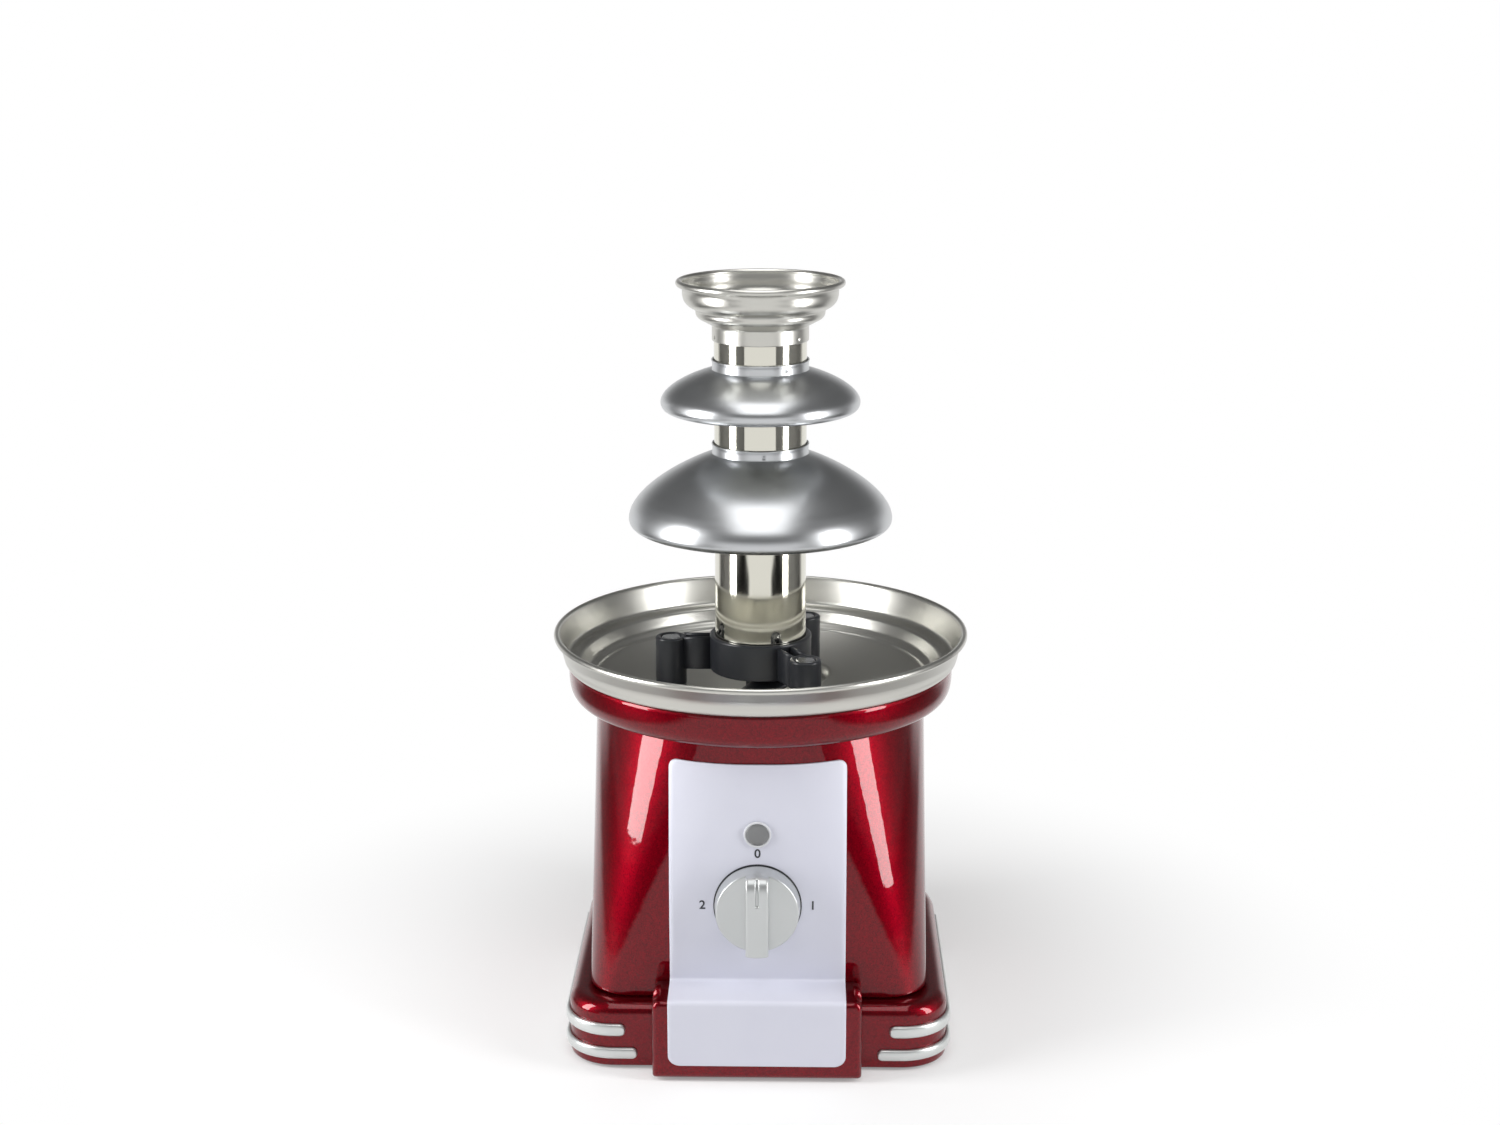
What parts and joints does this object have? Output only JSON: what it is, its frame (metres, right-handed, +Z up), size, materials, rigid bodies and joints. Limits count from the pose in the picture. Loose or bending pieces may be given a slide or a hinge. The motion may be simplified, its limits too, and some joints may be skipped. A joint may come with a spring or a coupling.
{
  "type": "chocolate fountain",
  "caption": "Countertop chocolate fountain: red square-to-round drive base with a heated steel bowl, and a lift-off tiered tower whose screw pump lifts melted chocolate.",
  "frame": {"origin": "on the table under the drive axis, at the middle of the base's foot", "axes": "+Z up along the drive axis, -Y out of the control panel, +X to the right of someone facing it"},
  "size_m": [0.2, 0.2032, 0.3591],
  "materials": {
    "candy_red": "high gloss metallic red",
    "satin_steel": "spun satin stainless steel",
    "polished_steel": "mirror polished stainless steel",
    "bright_steel": "turned bright steel",
    "dark_steel": "dark turned steel",
    "zinc_steel": "zinc plated steel",
    "aluminium": "mill finish aluminium",
    "heater_sheath": "oxidised heater sheath",
    "satin_silver": "satin silver painted plastic",
    "panel_silver": "pale silver panel",
    "pale_plastic": "pale gloss plastic",
    "lamp_grey": "grey translucent lens",
    "cream_plastic": "cream plastic",
    "gear_plastic": "natural acetal",
    "brass": "turned brass",
    "charcoal_plastic": "satin charcoal plastic",
    "black_plastic": "black plastic",
    "rubber": "black rubber",
    "silicone": "red silicone"
  },
  "bodies": {
    "base": {"plinth": "candy_red", "front_box": "candy_red", "body_shell": "candy_red", "bowl_collar": "candy_red", "bowl": "satin_steel", "locating_pins": "bright_steel", "idler_pin": "bright_steel", "base_screws": "zinc_steel", "pin_nuts": "zinc_steel", "bush_nut": "zinc_steel", "switch_nut": "zinc_steel", "shield_screws": "zinc_steel", "chassis_screws": "zinc_steel", "lid_screws": "zinc_steel", "motor_screws": "zinc_steel", "chassis_plate": "zinc_steel", "motor_can": "zinc_steel", "heat_shield": "aluminium", "heater_ring": "heater_sheath", "trim_upper_left": "satin_silver", "trim_upper_right": "satin_silver", "trim_lower_left": "satin_silver", "trim_lower_right": "satin_silver", "control_panel": "panel_silver", "lamp_bezel": "pale_plastic", "lamp_lens": "lamp_grey", "rotary_switch": "cream_plastic", "thermostat": "cream_plastic", "thermal_fuse": "cream_plastic", "terminal_block": "cream_plastic", "gearbox_case": "cream_plastic", "gearbox_lid": "cream_plastic", "bowl_bush": "brass", "lid_bush": "brass", "bottom_cover": "black_plastic", "rubber_feet": "rubber", "cord_gland": "black_plastic", "shaft_seal": "silicone"},
    "knob": {"knob": "satin_silver", "switch_spindle": "bright_steel"},
    "drive": {"drive_shaft": "dark_steel", "output_gear": "gear_plastic", "shaft_clip": "zinc_steel"},
    "idler": {"idler_gear": "gear_plastic"},
    "rotor": {"motor_shaft": "bright_steel", "motor_pinion": "brass"},
    "auger": {"auger": "charcoal_plastic"},
    "tower": {"tower_hub": "charcoal_plastic", "tower_tube": "polished_steel", "lower_tier": "satin_steel", "upper_tier": "satin_steel", "crown_bowl": "satin_steel"}
  },
  "joints": [
    {"name": "knob_turn", "type": "hinge", "parent": "base", "child": "knob", "pos_m": [0, -0.08007, 0.079], "axis": [0, 1, 0.0079], "range_deg": [-90, 90]},
    {"name": "drive_spin", "type": "hinge", "parent": "base", "child": "drive", "pos_m": [0, 0, 0.1], "axis": [0, 0, 1], "continuous": true},
    {"name": "idler_spin", "type": "hinge", "parent": "base", "child": "idler", "pos_m": [0, 0.036, 0.07], "axis": [0, 0, 1], "continuous": true},
    {"name": "rotor_spin", "type": "hinge", "parent": "base", "child": "rotor", "pos_m": [-0.03383, 0.02369, 0.06], "axis": [0, 0, 1], "continuous": true},
    {"name": "auger_lift", "type": "slide", "parent": "drive", "child": "auger", "axis": [0, 0, 1], "range_m": [0, 0.21]},
    {"name": "tower_lift", "type": "slide", "parent": "base", "child": "tower", "axis": [0, 0, 1], "range_m": [0, 0.18]}
  ],
  "couplings": [
    {"joint": "idler_spin", "follows": "drive_spin", "ratio": -3},
    {"joint": "rotor_spin", "follows": "drive_spin", "ratio": 9}
  ]
}
